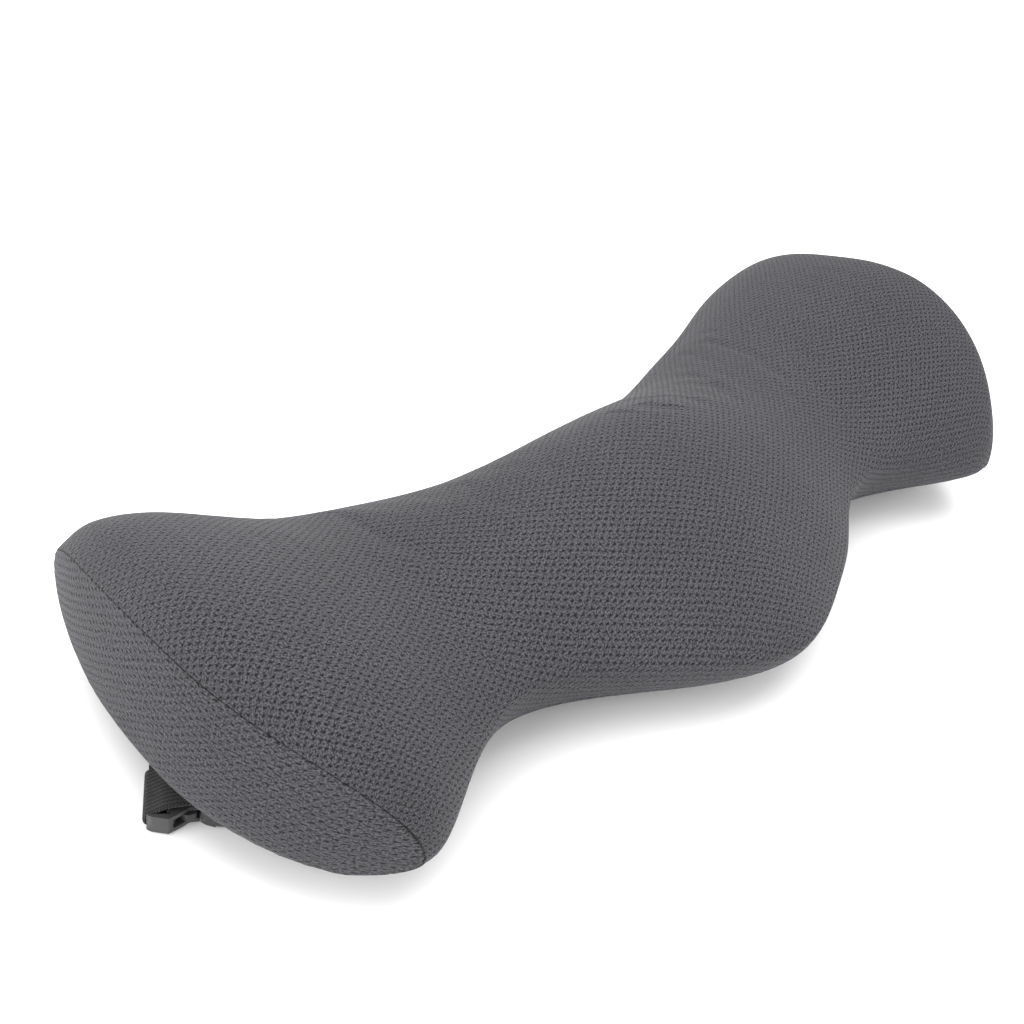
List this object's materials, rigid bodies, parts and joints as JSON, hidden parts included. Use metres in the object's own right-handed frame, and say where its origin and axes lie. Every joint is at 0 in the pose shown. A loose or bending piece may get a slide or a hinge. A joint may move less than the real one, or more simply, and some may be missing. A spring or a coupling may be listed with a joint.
{
  "type": "lumbar support cushion",
  "caption": "Contoured lumbar support cushion with raised wings, a zipped air-mesh cover, and an elastic back strap with a side-release buckle.",
  "frame": {"origin": "on the flat of the back, midway along the cushion, between the strap and the zip", "axes": "+X along the cushion, -Y towards its lower edge when worn, +Z out of the front towards the user's back"},
  "size_m": [0.4578, 0.1971, 0.089],
  "materials": {
    "foam": "open-cell memory foam",
    "liner_knit": "fine white knit",
    "air_mesh": "dark grey honeycomb air mesh",
    "seam_thread": "dark sewing thread",
    "zip_tape": "woven tape",
    "zip_nylon": "moulded nylon",
    "zip_metal": "dark painted die casting",
    "webbing": "ribbed elastic webbing",
    "buckle_plastic": "satin moulded acetal"
  },
  "bodies": {
    "cushion": {"foam_core": "foam", "inner_liner": "liner_knit", "front_cover_panel": "air_mesh", "end_panel_left": "air_mesh", "end_panel_right": "air_mesh", "back_panel_lower": "air_mesh", "back_panel_upper": "air_mesh", "end_seam_left": "seam_thread", "end_seam_right": "seam_thread", "long_seam_lower": "seam_thread", "long_seam_upper": "seam_thread", "zip_tape_lower": "zip_tape", "zip_tape_upper": "zip_tape", "zip_teeth_lower": "zip_nylon", "zip_teeth_upper": "zip_nylon", "zip_stops": "zip_nylon", "strap_anchor": "webbing", "long_strap": "webbing", "buckle_socket": "buckle_plastic", "anchor_stitches_left": "seam_thread", "anchor_stitches_right": "seam_thread"},
    "zip_slider": {"zip_slider": "zip_metal"},
    "zip_pull": {"zip_pull_tab": "zip_metal"},
    "adjuster": {"strap_adjuster": "buckle_plastic"},
    "plug": {"buckle_plug": "buckle_plastic"},
    "prong_lower": {"buckle_prong_lower": "buckle_plastic"},
    "prong_upper": {"buckle_prong_upper": "buckle_plastic"}
  },
  "joints": [
    {"name": "zip_slide", "type": "slide", "parent": "cushion", "child": "zip_slider", "axis": [-1, 0, 0], "range_m": [0, 0.262]},
    {"name": "pull_tab_hinge", "type": "hinge", "parent": "zip_slider", "child": "zip_pull", "pos_m": [0.13, 0.017, 0.0019], "axis": [0, -1, 0], "range_deg": [0, 150]},
    {"name": "adjuster_slide", "type": "slide", "parent": "cushion", "child": "adjuster", "axis": [1, 0, 0], "range_m": [-0.02, 0.025]},
    {"name": "buckle_release", "type": "slide", "parent": "cushion", "child": "plug", "axis": [0.809, -0.5878, 0], "range_m": [0, 0.016], "deforming": ["long_strap"]},
    {"name": "prong_lower_squeeze", "type": "hinge", "parent": "plug", "child": "prong_lower", "pos_m": [-0.21139, -0.00563, 0.0042], "axis": [0, 0, -1], "range_deg": [0, 10], "stiffness_Nm_per_rad": 0.3},
    {"name": "prong_upper_squeeze", "type": "hinge", "parent": "plug", "child": "prong_upper", "pos_m": [-0.2061, 0.00165, 0.0042], "axis": [0, 0, 1], "range_deg": [0, 10], "stiffness_Nm_per_rad": 0.3}
  ]
}
